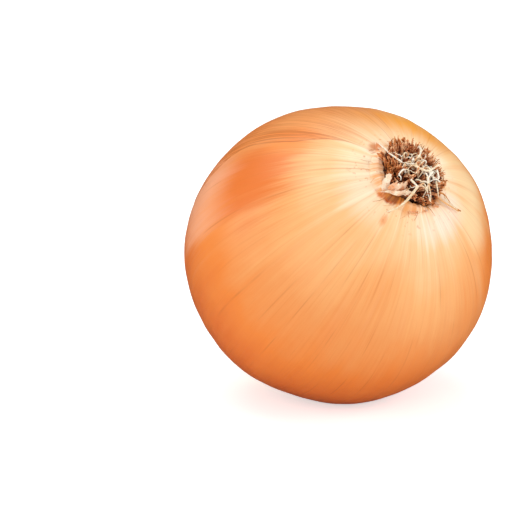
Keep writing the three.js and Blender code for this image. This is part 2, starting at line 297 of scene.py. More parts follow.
# Bulb: the outline, and how it swells, bends and folds
bulb = {
    "radius": 40.0,
    "rootHeight": 38.6,
    "neckHeight": 38.3,
    "rootPower": 1.92,  # fullness of the root side: 2 is an ellipse
    "offRound": 0.022,
    "lobes": (7, 0.2, 0.6),  # count, depth, phase
    "dents": (3, 0.25, 2.1),
    "socketRadius": 8.1,
    "socketFloor": -35.9,
    "rimRadius": 9.5,
    "shoulderAngle": 34,
    "waist": (7.6, 43.2),  # radius, height
    "tip": (6.4, 50.6),
    "bendStart": 37,
    "bend": 2.9,
    "pleats": (13, 0.62, 28, 43, 22),  # count, depth, start, full, twist
    "finePleats": (31, 0.2),
    "ribs": 0.14,  # height of the low ribs that run from root to neck
    "puckers": 0.3,  # depth of the folds drawn in towards the root
    "hollows": 0.25,
    "slack": 0.2,  # keeps the swelling inside the solid's box
    "stepsRound": 320,
    "steps": {"floor": 6, "wall": 6, "rootSide": 105, "shoulder": 60, "neck": 45, "tip": 14},
    "shoulderPull": 11,  # how far the shoulder's curve keeps its direction on its way to the neck
    "waistPull": (0.2, -6),
    "cut": [(0.92, 0.35), (0.8, 0.5), (0.62, 0.1), (0.45, -0.3), (0.2, 0.0), (0.0, 0.2)],  # share, lift
}

# The edge of the outermost skin, where it has split along its length
skinEdge = {
    "round": -143.0,  # degrees round the onion at the widest ring
    "drift": 9.0,  # how far it has moved round above the widest ring
    "rootDrift": 10.0,  # and how much further by the root
    "step": 0.14,  # how far the skin stands up
    "middle": -120.0,  # degrees round that its browner part is centred on
}


def smooth(value, low, high):
    share = min(1.0, max(0.0, (value - low) / (high - low)))
    return share * share * (3 - 2 * share)


def mix(first, second, share):
    return first + (second - first) * share


def uneven(x, y, z):  # a value from -1 to 1 that changes smoothly with the place
    return noise.noise(Vector((x, y, z)))


def halfTurn(turn):  # the same direction, from -180 to 180 degrees
    return (turn + 180) % 360 - 180


def rootRise(radius):
    share = min(radius / bulb["radius"], 1)
    power = bulb["rootPower"]
    return -bulb["rootHeight"] * (1 - share**power) ** (1 / power)


def bendAt(height):
    share = max(0.0, (height - bulb["bendStart"]) / (bulb["tip"][1] - bulb["bendStart"]))
    return bulb["bend"] * share**2


def bulbOutline():
    steps, floor = bulb["steps"], bulb["socketFloor"]
    points = [(bulb["socketRadius"] * i / steps["floor"], floor) for i in range(steps["floor"] + 1)]
    rimRise = rootRise(bulb["rimRadius"])
    for i in range(1, steps["wall"] + 1):  # the socket's wall rolls over into the skin
        turn = i / steps["wall"] * pi / 2
        radius = mix(bulb["socketRadius"], bulb["rimRadius"], 1 - cos(turn))
        points.append((radius, mix(floor, rimRise, sin(turn))))
    rimAngle = asin(bulb["rimRadius"] / bulb["radius"])
    for i in range(1, steps["rootSide"] + 1):
        radius = bulb["radius"] * sin(mix(rimAngle, pi / 2, i / steps["rootSide"]))
        points.append((radius, rootRise(radius)))
    shoulderTurn = radians(bulb["shoulderAngle"])
    for i in range(1, steps["shoulder"] + 1):
        angle = mix(pi / 2, shoulderTurn, i / steps["shoulder"])
        points.append((bulb["radius"] * sin(angle), bulb["neckHeight"] * cos(angle)))
    start, waist, tip = Vector(points[-1]), Vector(bulb["waist"]), Vector(bulb["tip"])
    along = Vector((-bulb["radius"] * cos(shoulderTurn), bulb["neckHeight"] * sin(shoulderTurn)))
    leaving = start + along.normalized() * bulb["shoulderPull"]
    arriving = waist + Vector(bulb["waistPull"])
    points += geometry.interpolate_bezier(start, leaving, arriving, waist, steps["neck"] + 1)[1:]
    points += [waist.lerp(tip, i / steps["tip"]) for i in range(1, steps["tip"] + 1)]
    return points + [(tip.x * share, tip.y + lift) for share, lift in bulb["cut"]]


def lathe(outline, steps):
    mesh = bmesh.new()
    chain = [mesh.verts.new((radius, 0, height)) for radius, height in outline]
    edges = [mesh.edges.new(pair) for pair in zip(chain, chain[1:])]
    middle, axis, turn = (0, 0, 0), (0, 0, 1), 2 * pi
    bmesh.ops.spin(mesh, geom=chain + edges, cent=middle, axis=axis, angle=turn, steps=steps, use_merge=True)
    bmesh.ops.remove_doubles(mesh, verts=mesh.verts, dist=0.001)
    return mesh


# Degrees round the onion where the outer skin's edge runs at a height
def edgeRound(height):
    drift = skinEdge["drift"] * (1 - smooth(height, -16, 2))
    drift += skinEdge["rootDrift"] * (1 - smooth(height, -37, -26))
    wander = 0.9 * uneven(height * 0.09, 3.1, 0.4) + 0.5 * uneven(height * 0.4, 1, 7)
    return skinEdge["round"] + drift + wander


def pastEdge(angle, height):  # degrees past that edge
    return halfTurn(degrees(angle) - edgeRound(height))


def grow(point):
    radius = hypot(point.x, point.y)
    if radius < 1e-6:
        return Vector((0.0, -bendAt(point.z), point.z))
    angle, height = atan2(point.y, point.x), point.z
    east, north = cos(angle), sin(angle)
    body = smooth(radius, 4, 22) * (1 - smooth(height, 26, 44))
    count, depth, start, full, twist = bulb["pleats"]
    drawn = smooth(height, start, full)
    turned = angle + radians(twist) * smooth(height, 34, 52)
    fold = cos(count * turned + 1.6 * sin(2 * turned)) * (0.75 + 0.25 * sin(3 * turned + 1))
    fineCount, fineDepth = bulb["finePleats"]
    fold = depth * fold + fineDepth * cos(fineCount * turned + 3 * sin(3 * turned))
    lobeCount, lobeDepth, lobePhase = bulb["lobes"]
    dentCount, dentDepth, dentPhase = bulb["dents"]
    swell = lobeDepth * cos(lobeCount * angle + lobePhase)
    swell += dentDepth * cos(dentCount * angle + dentPhase + height / 30)
    swell += bulb["ribs"] * uneven(east * 9, north * 9, height * 0.02)
    swell += bulb["hollows"] * uneven(point.x * 0.035 + 5, point.y * 0.035, point.z * 0.035) - bulb["slack"]
    past = pastEdge(angle, height)
    raised = smooth(past, -0.5, 0.5) * (1 - smooth(past, 30, 75))
    swell += skinEdge["step"] * raised
    wide = 1 + bulb["offRound"] * cos(2 * angle) * body
    inner = smooth(radius, 1.5, 5)
    grown = radius * wide + swell * body + fold * drawn * inner
    pucker = smooth(radius, 8.8, 10.5) * (1 - smooth(radius, 11, 19)) * (height < 0)
    lift = bulb["puckers"] * pucker * uneven(east * 4.5, north * 4.5, 0.3)
    return Vector((grown * east, grown * north - bendAt(height), height - lift))


def meshData(mesh, name):
    data = bpy.data.meshes.new(name)
    mesh.to_mesh(data)
    mesh.free()
    return data


def finishPiece(mesh, name, material, node):
    for face in mesh.faces:
        face.smooth = True
    data = meshData(mesh, name)
    data.materials.append(material)
    piece = addObject(name, data)
    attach(piece, "root")
    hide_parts(node)


def layDown(mesh):  # from the onion's own space to the frame, flattened where it meets the table
    bmesh.ops.transform(mesh, matrix=toFrame, verts=mesh.verts)
    for vert in mesh.verts:
        vert.co.z = max(vert.co.z, 0.0)


# Skin colours, from the root towards the neck
skin = {
    "cream": colour(254, 235, 202),
    "yellow": colour(252, 217, 170),
    "peach": colour(250, 198, 142),
    "apricot": colour(247, 180, 114),
    "orange": colour(242, 157, 88),
    "deepOrange": colour(243, 138, 58),
    "burnt": colour(231, 112, 44),
    "sheenPink": colour(250, 180, 140),
    "rust": colour(176, 84, 30),
    "brown": colour(200, 108, 42),
    "straw": colour(232, 196, 138),
    "veinTint": colour(190, 88, 28),
    "veins": 0.34,  # how strongly the veins are coloured
    "gloss": 0.32,  # roughness where the skin is smoothest
    "fineVeins": 0.12,
    "streakPull": 26.0,  # degrees that the streaks and clouds pull the bands of colour up and down
    "cloudPull": 34.0,
    "rim": colour(236, 146, 52),
    "socketWall": colour(196, 118, 60),
}

skinBands = [  # share of the way from root to neck, tint
    (0.07, skin["cream"]), (0.12, skin["yellow"]), (0.17, skin["peach"]), (0.25, skin["apricot"]),
    (0.36, skin["orange"]), (0.48, skin["deepOrange"]), (0.66, skin["burnt"]),
    (0.82, skin["deepOrange"]), (0.93, skin["orange"]),
]

# Marks: degrees round and from the root, half sizes, strength, tint, and how much is full if not 0.15. Most
# are stains and patches of the skin's own colour; some are painted light: a painted sheen, painted rim shade,
# a painted highlight and the painted shadow under the torn sheets
skinMarksAndPaintedLight = [
    ((-154, 60), (24, 21), 0.9, colour(228, 114, 40)),
    # painted sheen: a pinkish reflection of the white surroundings along the left edge
    ((-148, 88), (24, 18), 0.8, skin["sheenPink"]),
    ((-52, 36), (40, 12), 0.9, colour(250, 168, 56)),
    # painted rim shade: deeper orange along the right-hand rim, where the skin turns away
    ((22, 60), (44, 18), 0.95, colour(243, 136, 48)),
    # painted highlight: a whitish patch below and right of the root, where the key light shines
    ((58, 22), (50, 8), 0.6, colour(253, 236, 222)),
    ((88, 96), (60, 20), 0.2, skin["burnt"]),
    ((118, 43), (10, 14), 0.45, skin["orange"]),
    ((122, 62), (12, 24), 0.4, skin["orange"]),
    ((176, 21), (40, 9), 0.5, colour(254, 238, 214)),
    ((161, 15.2), (9, 1.4), 0.9, colour(220, 112, 26)),  # from here, the stain below the torn sheets, with the painted shadow that they cast on it
    ((149, 14.0), (11, 1.8), 1.0, colour(170, 64, 4), 0.55),
    ((136, 12.8), (11, 1.6), 1.0, colour(152, 62, 8), 0.55),
    ((123, 11.6), (10, 1.4), 0.9, colour(160, 80, 26)),
    # the two darkest: painted shadow right under the torn sheets
    ((148, 13.3), (11, 1.2), 0.95, colour(104, 40, 6), 0.75),
    ((132, 11.6), (13, 1.3), 0.95, colour(84, 34, 10), 0.7),
    ((-132, 46), (11, 13), 0.9, colour(243, 144, 60)),
    ((16, 34), (40, 12), 0.8, colour(254, 224, 174)),
    ((-116, 17), (9, 2.2), 0.8, colour(206, 124, 52)),
    ((138, 22), (4, 2.6), 0.6, colour(240, 140, 64)),
    ((118, 15.5), (6, 2.4), 0.6, colour(222, 140, 60)),
    ((60, 138), (26, 18), 0.6, skin["burnt"]),
    ((-70, 146), (20, 14), 0.6, colour(214, 90, 40)),
    ((-178, 132), (24, 20), 0.5, skin["burnt"]),
]

skinFades = {  # from, to, and the strengths there if not 0 and 1
    "outerSide": (62.0, 40.0),  # degrees from the middle of the outer skin's edge
    "outerEdge": (-0.2, 0.3),  # millimetres past that edge
    "outerBody": (24.0, 46.0, 0.0, 0.3),  # degrees from the root
    "stripes": (12.0, 1.0, 0.4, 0.8),  # millimetres past the edge
    "stripesStart": (18.0, 40.0, 0.3, 1.0),  # degrees from the root
    "seam": (0.34, 0.0),  # millimetres from the edge
    "seamWorn": (0.3, 0.5, 0.2, 0.6),
    "seamStart": (15.0, 34.0, 0.2, 1.0),  # degrees from the root
    "fibres": (0.6, 0.36, 0.0, 0.11),
    "paleStreaks": (0.52, 0.74, 0.0, 0.1),
    "paleStreaksEnd": (85.0, 50.0),  # degrees from the root
    "veins": (0.34, 0.6, 0.2, skin["veins"]),
    "rim": (16.5, 13.6),  # degrees from the root
    "rimStreaks": (0.36, 0.6, 0.15, 0.7),
    "flecks": (0.62, 0.72, 0.0, 0.45),
    "flecksEnd": (27.0, 17.0),  # degrees from the root
    "wallTop": (-37.35, -37.0),  # height
    "wallSide": (9.7, 9.3),  # radius
    "neck": (34.0, 42.0),  # height
}


def makeSkinMaterial():
    material, tree, shader = newMaterial(
        "onionSkin", Specular_IOR_Level=0.3, Coat_Weight=0.07, Coat_Roughness=0.26
    )
    local, round_, polar, radius, height = useGroup(tree, onionPlace)
    inputs = {"Local": local, "Round": round_, "Radius": radius}
    streak, fibre, vein, fineVein = useGroup(tree, skinGrain, inputs)
    clouds = noiseAt(tree, local, 0.05)
    patchy = noiseAt(tree, local, 0.09, 1.0)

    def faded(value, name):
        return smoothStep(tree, value, *skinFades[name])

    pull = swayed(tree, clouds, skin["cloudPull"], swayed(tree, streak, skin["streakPull"], polar))
    tint = addRamp(tree, maths(tree, "DIVIDE", pull, 180.0), skinBands)
    ragged = swayed(tree, fibre, 0.7, swayed(tree, streak, 1.4))
    # Stains and patches of colour, with the painted sheen, rim shade, highlight and shadow among them
    for at, size, share, markAndLightTint, *fullTo in skinMarksAndPaintedLight:
        mask = blotchMask(tree, round_, polar, at, size, ragged, *fullTo)
        tint = mixColour(tree, times(tree, mask, share), tint, markAndLightTint)

    # The outermost skin is browner past its split edge, and streaked along its length
    fromEdge = attribute(tree, "fromEdge")
    turn = maths(tree, "SUBTRACT", round_, skinEdge["middle"])
    near = faded(maths(tree, "ABSOLUTE", maths(tree, "WRAP", turn, 180.0, -180.0)), "outerSide")
    outer = times(tree, faded(fromEdge, "outerEdge"), near)
    stripes = times(tree, faded(fromEdge, "stripes"), faded(polar, "stripesStart"))
    striped = smoothStep(tree, fibre, 0.42, 0.62, 0.06, stripes)
    seam = times(tree, faded(maths(tree, "ABSOLUTE", fromEdge), "seam"), near)
    flecks = faded(noiseAt(tree, local, 0.8, 2.0), "flecks")
    dry = faded(maths(tree, "MULTIPLY_ADD", streak, 6.0, height), "neck")
    layers = [  # share, tint: the outer skin, its grain, the rim and flecks, the socket's wall, the dry neck
        (times(tree, outer, faded(polar, "outerBody")), "deepOrange"),
        (times(tree, outer, striped), "brown"),
        (times(tree, seam, faded(patchy, "seamWorn"), faded(polar, "seamStart")), "rust"),
        (faded(fibre, "fibres"), "burnt"),
        (times(tree, faded(streak, "paleStreaks"), faded(polar, "paleStreaksEnd")), "yellow"),
        (times(tree, vein, faded(patchy, "veins")), "veinTint"),
        (times(tree, fineVein, skin["fineVeins"]), "brown"),
        (times(tree, faded(polar, "rim"), faded(streak, "rimStreaks")), "rim"),
        (times(tree, faded(polar, "flecksEnd"), flecks), "brown"),
        (times(tree, faded(height, "wallTop"), faded(radius, "wallSide")), "socketWall"),
        (dry, "straw"),
    ]
    for share, name in layers:
        tint = mixColour(tree, share, tint, skin[name])
    matt = maths(tree, "MULTIPLY_ADD", dry, 0.3, skin["gloss"])
    rough = smoothStep(tree, fibre, 0.3, 0.7, matt, maths(tree, "ADD", matt, 0.14))
    finishShader(tree, shader, tint, rough, maths(tree, "MULTIPLY_ADD", vein, 0.3, fibre), 0.22)
    return material


def addTo(target, part):
    data = meshData(part, "part")
    target.from_mesh(data)
    bpy.data.meshes.remove(data)


def spot(angle, radius, height=0.0):
    return Vector((radius * cos(angle), radius * sin(angle), height))


def polarPoint(direction, radius, rise):  # degrees round, and height above the root end
    return spot(radians(direction), radius, -bulb["rootHeight"] - rise)


def throughPoints(points, steps):  # a smooth path through the points
    padded = [points[0] * 2 - points[1]] + points + [points[-1] * 2 - points[-2]]
    path = []
    for i in range(len(points) - 1):
        a, b, c, d = padded[i : i + 4]
        for step in range(steps):
            t = step / steps
            bent = (a * 2 - b * 5 + c * 4 - d) * t**2 + (b * 3 - a - c * 3 + d) * t**3
            path.append((b * 2 + (c - a) * t + bent) / 2)
    return path + [points[-1]]


def alongPath(path, share):
    place = min(max(share, 0.0), 1.0) * (len(path) - 1)
    i = min(int(place), len(path) - 2)
    return path[i].lerp(path[i + 1], place - i)


# A lip of the same skin that folds in over the rim where the roots lean away
rimLip = {
    "outer": [  # degrees round, radius
        (78, 9.8), (98, 10.1), (116, 10.2), (137, 10.2), (160, 10.2), (180, 10.4), (205, 10.2),
        (232, 10.2), (262, 9.9),
    ],
    "inner": [
        (84, 8.9), (100, 7.9), (118, 7.3), (138, 7.4), (160, 7.4), (180, 6.6), (205, 6.9), (232, 7.4),
        (256, 8.6),
    ],
    "rise": 0.8,
    "bed": 0.25,  # how far its outer edge is sunk
    "thickness": 0.2,
}


def addLip(mesh):
    outer, inner = (
        throughPoints([polarPoint(*place, 0.0) for place in rimLip[edge]], 8) for edge in ("outer", "inner")
    )
    lip = bmesh.new()
    fromEdge = lip.verts.layers.float.new("fromEdge")
    bmesh.ops.create_grid(lip, x_segments=90, y_segments=10, size=0.5)
    for vert in lip.verts:
        vert[fromEdge] = -50
        along, share = vert.co.x + 0.5, vert.co.y + 0.5
        torn = 1 - 0.24 * uneven(along * 7, 0.4, 2) - 0.2 * uneven(along * 23, 1, 4)
        point = alongPath(outer, along).lerp(alongPath(inner, along), share * torn)
        rise = rimLip["rise"] * smooth(share, 0, 0.6) * smooth(along, -0.1, 0.3)
        sunk = rimLip["bed"] * (1 - smooth(share, 0, 0.2))
        point.z = rootRise(max(hypot(point.x, point.y), 8.5)) - rise + sunk
        vert.co = point
    bmesh.ops.solidify(lip, geom=lip.faces, thickness=rimLip["thickness"])
    addTo(mesh, lip)


def makeBulb():
    mesh = lathe(bulbOutline(), bulb["stepsRound"])
    fromEdge = mesh.verts.layers.float.new("fromEdge")  # millimetres past the outer skin's edge
    for vert in mesh.verts:
        past = pastEdge(atan2(vert.co.y, vert.co.x), vert.co.z)
        vert[fromEdge] = radians(past) * hypot(vert.co.x, vert.co.y)
        vert.co = grow(vert.co)
    addLip(mesh)
    layDown(mesh)
    bmesh.ops.recalc_face_normals(mesh, faces=mesh.faces)
    finishPiece(mesh, "bulbSkin", makeSkinMaterial(), "bulb")


makeBulb()
print("bulb built")


# Thin torn sheets of dry skin, at the neck and round the root
def tearSheet(width, length, sunk, thickness, bend, dice):
    sheet = bmesh.new()
    bmesh.ops.create_grid(sheet, x_segments=8, y_segments=8, size=0.5)
    shift = dice.uniform(0, 90)
    lean = dice.uniform(-0.3, 0.3)
    for vert in sheet.verts:
        across, up = vert.co.x, vert.co.y + 0.5
        torn = 0.72 + 0.55 * uneven(across * 3.2 + shift, 0.5, 0) - 0.9 * abs(across) ** 1.6
        torn += 0.3 * uneven(across * 9 + shift, 2.5, 0)
        reach = mix(-sunk, length * max(0.15, torn), up)
        vert.co = (across * width * (1 - 0.25 * up) + lean * max(0.0, reach), reach, 0)
    for vert in sheet.verts:
        ripple = 0.22 * uneven(vert.co.x * 0.9 + shift, vert.co.y * 0.5, 1.7)
        vert.co = bend(vert.co.x, vert.co.y, ripple)
    bmesh.ops.solidify(sheet, geom=sheet.faces, thickness=thickness)
    bmesh.ops.recalc_face_normals(sheet, faces=sheet.faces)
    return sheet


neckShreds = {
    "rings": [  # count, height, radius, length, width, splay in degrees
        (13, 44.6, 7.3, 5.6, 5.0, 14),
        (12, 47.6, 6.6, 4.6, 4.2, 10),
        (13, 50.0, 5.6, 4.4, 3.6, 12),
        (10, 50.2, 3.9, 3.6, 3.0, 8),
        (7, 50.2, 2.0, 3.0, 2.4, 4),
    ],
    "thickness": 0.16,
    "sunk": 2.0,
    "seed": 11,
}


def makeNeckShreds():
    dice = random.Random(neckShreds["seed"])
    mesh = bmesh.new()
    for count, height, radius, length, width, splay in neckShreds["rings"]:
        for i in range(count):
            angle = (i + dice.uniform(-0.3, 0.3)) / count * 2 * pi
            tilt = tan(radians(splay * dice.uniform(0.2, 1.6)))
            lean = max(0.0, -sin(angle))  # the neck bends this way, so its shreds are shorter here
            reach = length * dice.uniform(0.6, 1.1) * (1 - 0.45 * lean)
            tilt *= 1 - 0.5 * lean

            def bend(across, up, ripple, angle=angle, tilt=tilt):
                out = radius + ripple + max(0.0, up) * tilt
                turn = angle + across / radius
                rise = height + up
                return (out * cos(turn), out * sin(turn) - bendAt(rise), rise)

            torn = width * dice.uniform(0.7, 1.2)
            addTo(mesh, tearSheet(torn, reach, neckShreds["sunk"], neckShreds["thickness"], bend, dice))
    layDown(mesh)
    finishPiece(mesh, "neckShreds", makePaperMaterial(), "bulb")


paper = {
    "straw": colour(226, 190, 134),
    "brown": colour(158, 96, 50),
    "dusty": colour(150, 128, 104),
}


def makePaperMaterial():
    material, tree, shader = newMaterial("neckPaper")
    place = useGroup(tree, onionPlace)
    inputs = {"Local": place["Local"], "Streaks Round": 4.0, "Fibres Round": 30.0, "Along": 0.08}
    streak, fibre = useGroup(tree, skinGrain, inputs)[:2]
    tint = mixColour(tree, smoothStep(tree, streak, 0.35, 0.65), paper["straw"], paper["brown"])
    tip = smoothStep(tree, place["Height"], 50.0, 54.0, 0.0, 0.7)
    tint = mixColour(tree, tip, tint, paper["dusty"])
    tint = mixColour(tree, smoothStep(tree, fibre, 0.6, 0.35, 0.0, 0.45), tint, paper["brown"])
    finishShader(tree, shader, tint, smoothStep(tree, fibre, 0.3, 0.7, 0.5, 0.75), fibre, 0.5)
    return material


makeNeckShreds()
print("neck shreds built")

rootFlaps = {
    # Sheets of skin torn loose on the side that faces down, each between two edges: points as degrees
    # round, radius and height above the root end
    "sheets": [
        {
            "warm": 0.1,
            "low": [(164, 10.6, -0.7), (150, 9.0, 0.3), (133, 7.7, 0.6), (113, 6.6, 0.9)],
            "high": [(161, 10.2, 0.4), (149, 8.8, 1.5), (134, 6.9, 2.2), (113, 5.4, 2.6)],
        },
        {
            "warm": 0.42,
            "low": [(157, 9.4, 0.5), (146, 7.9, 1.2), (134, 6.1, 1.5)],
            "high": [(164, 8.2, 2.8), (150, 6.2, 3.6), (137, 4.9, 3.4)],
        },
        {
            "warm": 0.0,
            "low": [(155, 8.9, -0.4), (160, 8.5, 1.2), (167, 8.0, 2.6), (174, 7.6, 3.5)],
            "high": [(163, 9.9, -0.6), (169, 9.6, 1.2), (175, 9.1, 2.7), (179, 8.4, 3.7)],
        },
    ],
    "scraps": [  # degrees round, width, length, degrees that it stands up from the skin
        (105, 2.6, 2.2, 40), (246, 2.2, 2.0, 20), (310, 2.0, 1.6, 18), (350, 1.8, 1.6, 16),
        (18, 2.4, 1.8, 20), (62, 1.6, 1.8, 14), (84, 2.0, 1.6, 20), (280, 1.6, 1.4, 12),
    ],
    "footRadius": 9.9,
    "sunk": 0.9,
    "thickness": 0.13,
    "pale": colour(255, 240, 212),
    "warm": colour(244, 166, 112),
    "crease": colour(236, 150, 92),
    "seed": 4,
}


def sheetBetween(low, high, warm, thickness, dice):
    lowPath, highPath = (throughPoints([polarPoint(*point) for point in edge], 8) for edge in (low, high))
    shift = dice.uniform(0, 50)
    sheet = bmesh.new()
    warmLayer = sheet.verts.layers.float.new("warm")
    creaseLayer = sheet.verts.layers.float.new("crease")
    bmesh.ops.create_grid(sheet, x_segments=26, y_segments=11, size=0.5)
    for vert in sheet.verts:
        vert[warmLayer] = warm
        vert[creaseLayer] = vert.co.x
        along, up = vert.co.x + 0.5, vert.co.y + 0.5
        torn = 1 - 0.35 * uneven(along * 4 + shift, 0.7, 0) - 0.25 * uneven(along * 13, shift, 0)
        up *= min(1.1, torn * (1 - (2 * abs(along - 0.5)) ** 4 * 0.5))
        point = alongPath(lowPath, along).lerp(alongPath(highPath, along), up)
        outward = Vector((point.x, point.y, 0)).normalized()
        ripple = 0.3 * sin(pi * min(up, 1)) + 0.55 * uneven(along * 7 + shift, up * 1.5, 1.3)
        vert.co = point + outward * ripple
    bmesh.ops.solidify(sheet, geom=sheet.faces, thickness=thickness)
    bmesh.ops.recalc_face_normals(sheet, faces=sheet.faces)
    return sheet


def makeRootFlaps():
    dice = random.Random(rootFlaps["seed"])
    mesh = bmesh.new()
    warmLayer = mesh.verts.layers.float.new("warm")
    mesh.verts.layers.float.new("crease")
    for direction, width, length, lift in rootFlaps["scraps"]:
        angle, rise = radians(direction), radians(lift)
        foot = rootFlaps["footRadius"] - dice.uniform(0.0, 0.6)

        def bend(across, up, ripple, angle=angle, rise=rise, foot=foot):
            along = max(0.0, up)
            curl = 0.07 * along**2
            out = foot + up * cos(rise) - curl - 0.03 * across**2
            height = rootRise(foot) - up * sin(rise) - 0.4 * curl + ripple
            return spot(angle, out, height) + spot(angle + pi / 2, across)

        addTo(mesh, tearSheet(width, length, rootFlaps["sunk"], rootFlaps["thickness"], bend, dice))
    for vert in mesh.verts:
        vert[warmLayer] = 0.5
    for sheet in rootFlaps["sheets"]:
        addTo(mesh, sheetBetween(**sheet, thickness=rootFlaps["thickness"], dice=dice))
    layDown(mesh)
    finishPiece(mesh, "rootFlaps", makeFlapMaterial(), "bulb")


def makeFlapMaterial():
    material, tree, shader = newMaterial("flapPaper", Specular_IOR_Level=0.3)
    local = useGroup(tree, onionPlace)["Local"]
    mottle = noiseAt(tree, local, 0.55)
    fine = noiseAt(tree, local, 3.0)
    warm = smoothStep(tree, maths(tree, "MULTIPLY_ADD", attribute(tree, "warm"), 0.3, mottle), 0.42, 0.78)
    tint = mixColour(tree, warm, rootFlaps["pale"], rootFlaps["warm"])
    across = maths(tree, "MULTIPLY_ADD", attribute(tree, "crease"), 15.0, mottle)
    crease = addNode(tree, "TexNoise", {"W": across, "Detail": 3.0}, noise_dimensions="1D").outputs[0]
    tint = mixColour(tree, smoothStep(tree, crease, 0.5, 0.34, 0.0, 0.4), tint, rootFlaps["crease"])
    tint = mixColour(tree, smoothStep(tree, fine, 0.56, 0.7, 0.0, 0.3), tint, skin["brown"])
    relief = maths(tree, "MULTIPLY_ADD", crease, 0.8, fine)
    finishShader(tree, shader, tint, smoothStep(tree, mottle, 0.3, 0.7, 0.5, 0.7), relief, 0.4)
    return material


makeRootFlaps()
print("root flaps built")

# Root tuft: the corky plate, bundles of dry stubs that fan out of it, and long pale roots over them
plate = {
    "radius": 7.5,
    "brim": 8.8,
    "crown": 1.5,
    "foot": -36.2,
    "rough": 0.6,
    "drawnIn": [(-160, 44, 0.2), (108, 26, 0.18)],  # degrees round, half width, share that it is narrower
    "stepsRound": 72,
    "stepsOut": 14,
}
stubs = {
    "bundles": 64,
    "inBundle": (5, 8),
    "edgeBundles": 40,
    "inEdgeBundle": (3, 5),
    "spread": 7.4,
    "edgeFoot": (7.2, 8.2),
    "bundleRadius": 0.8,
    "length": (2.8, 4.8),
    "thickness": (0.14, 0.34),  # half of it, at the foot
    "taper": (1.0, 1.0, 0.9, 0.75, 0.4),
    "wisps": 110,  # thin ones that stick out between the others
    "wispSpread": 8.2,
    "wispLength": (2.4, 4.6),
    "wispThickness": (0.06, 0.12),
    "ragged": 0.14,
    "seed": 23,
    "clumps": [  # degrees round, reach
        (-180, 6.6), (-167, 6.7), (-157, 7.0), (-149, 8.9), (-141, 10.0), (-134, 8.9), (-127, 7.7),
        (-118, 7.5), (-108, 8.4), (-98, 9.8), (-88, 10.9), (-79, 10.7), (-68, 9.6), (-58, 9.0),
        (-50, 7.9), (-43, 9.0), (-30, 9.4), (-16, 9.9), (-4, 9.4), (10, 8.8), (26, 9.6), (46, 8.8),
        (61, 8.9), (74, 9.5), (82, 8.7), (91, 9.1), (101, 7.9), (108, 8.2), (118, 7.3), (140, 7.0),
        (160, 6.8), (180, 6.6),
    ],
    "gather": (-142, -84, -40, -14, 28, 72, 112),  # directions that the clumps lean towards
    "lowSide": (120, 172),  # kept short here, where the torn sheets lie over them
    "lowLength": 0.45,
}


def clumpReach(angle):
    turn = halfTurn(degrees(angle))
    for (fromTurn, fromReach), (toTurn, toReach) in zip(stubs["clumps"], stubs["clumps"][1:]):
        if turn <= toTurn:
            return mix(fromReach, toReach, smooth(turn, fromTurn, toTurn))
    return stubs["clumps"][-1][1]


def standing(point, along):
    return Matrix.Translation(point) @ along.to_track_quat("Z", "Y").to_matrix().to_4x4()


def growRoot(target, points, radii, sides, tone, footTone=1.0):
    mesh = bmesh.new()
    toneLayer = mesh.verts.layers.float.new("tone")
    at = standing(points[0], points[1] - points[0])
    ring = bmesh.ops.create_circle(mesh, cap_ends=True, radius=radii[0], segments=sides, matrix=at)["verts"]
    for vert in ring:
        vert[toneLayer] = tone * footTone
    cap = ring[0].link_faces[0]
    last = len(points) - 1
    for i in range(1, last + 1):
        nextAt = standing(points[i], points[min(i + 1, last)] - points[i - 1])
        scale = Matrix.Scale(radii[i] / radii[i - 1], 4)
        grown = bmesh.ops.extrude_face_region(mesh, geom=[cap])["geom"]
        cap = next(item for item in grown if isinstance(item, bmesh.types.BMFace))
        move = nextAt @ scale @ at.inverted()
        for vert in cap.verts:
            vert.co = move @ vert.co
            vert[toneLayer] = tone * mix(footTone, 1, i / last)
        at = nextAt
    addTo(target, mesh)


def clearOfSkin(point, thickness):
    radius = hypot(point.x, point.y)
    if radius > plate["radius"]:
        point.z = min(point.z, rootRise(max(radius, bulb["rimRadius"])) - 0.1 - thickness)
    return point


def plateTop(radius):
    brimHeight = rootRise(bulb["rimRadius"]) - 0.6
    share = sqrt(max(0.0, 1 - (radius / plate["brim"]) ** 2))
    return brimHeight - (plate["crown"] + bulb["rootHeight"] + brimHeight) * share


def plateShare(angle):
    left = 1.0
    for towards, halfWidth, share in plate["drawnIn"]:
        left -= share * exp(-((halfTurn(degrees(angle) - towards) / halfWidth) ** 2))
    return left


def makeRootPlate():
    brimHeight = plateTop(plate["brim"])
    outline = [(0.0, plateTop(0))]
    for i in range(1, plate["stepsOut"] + 1):
        radius = plate["brim"] * sin(i / plate["stepsOut"] * pi / 2)
        outline.append((radius, plateTop(radius)))
    outline += [(plate["radius"], brimHeight + 0.5), (plate["radius"], plate["foot"]), (0.0, plate["foot"])]
    mesh = lathe(outline, plate["stepsRound"])
    for vert in mesh.verts:
        narrowed = plateShare(atan2(vert.co.y, vert.co.x))
        vert.co.x *= narrowed
        vert.co.y *= narrowed
        if vert.co.z < brimHeight + 0.2:
            lump = noise.noise(vert.co * 0.55) + 0.6 * noise.noise(vert.co * 1.6)
            vert.co.z -= plate["rough"] * (lump + 0.3)
    finishRoots(mesh, "rootPlate", "corkyPlate")


def growStub(mesh, dice, start, leanRound, leanOut, length, thickness, tone):
    lean = spot(leanRound, sin(leanOut), -cos(leanOut))
    side = spot(leanRound + pi / 2, dice.uniform(-0.5, 0.5))
    sag = Vector((0, 0, 0.8 * sin(leanOut)))
    points, radii = [], []
    for step, taper in enumerate(stubs["taper"]):
        t = step / (len(stubs["taper"]) - 1)
        point = start + lean * length * t + (side + sag) * t * t
        out = hypot(point.x, point.y)
        reachOut = clumpReach(atan2(point.y, point.x)) + dice.uniform(-0.2, 0.2)
        if out > reachOut:
            point.x, point.y = point.x * reachOut / out, point.y * reachOut / out
        points.append(clearOfSkin(point, thickness))
        radii.append(thickness * taper * dice.uniform(0.75, 1.3))
    growRoot(mesh, points, radii, 6, tone, 0.25)


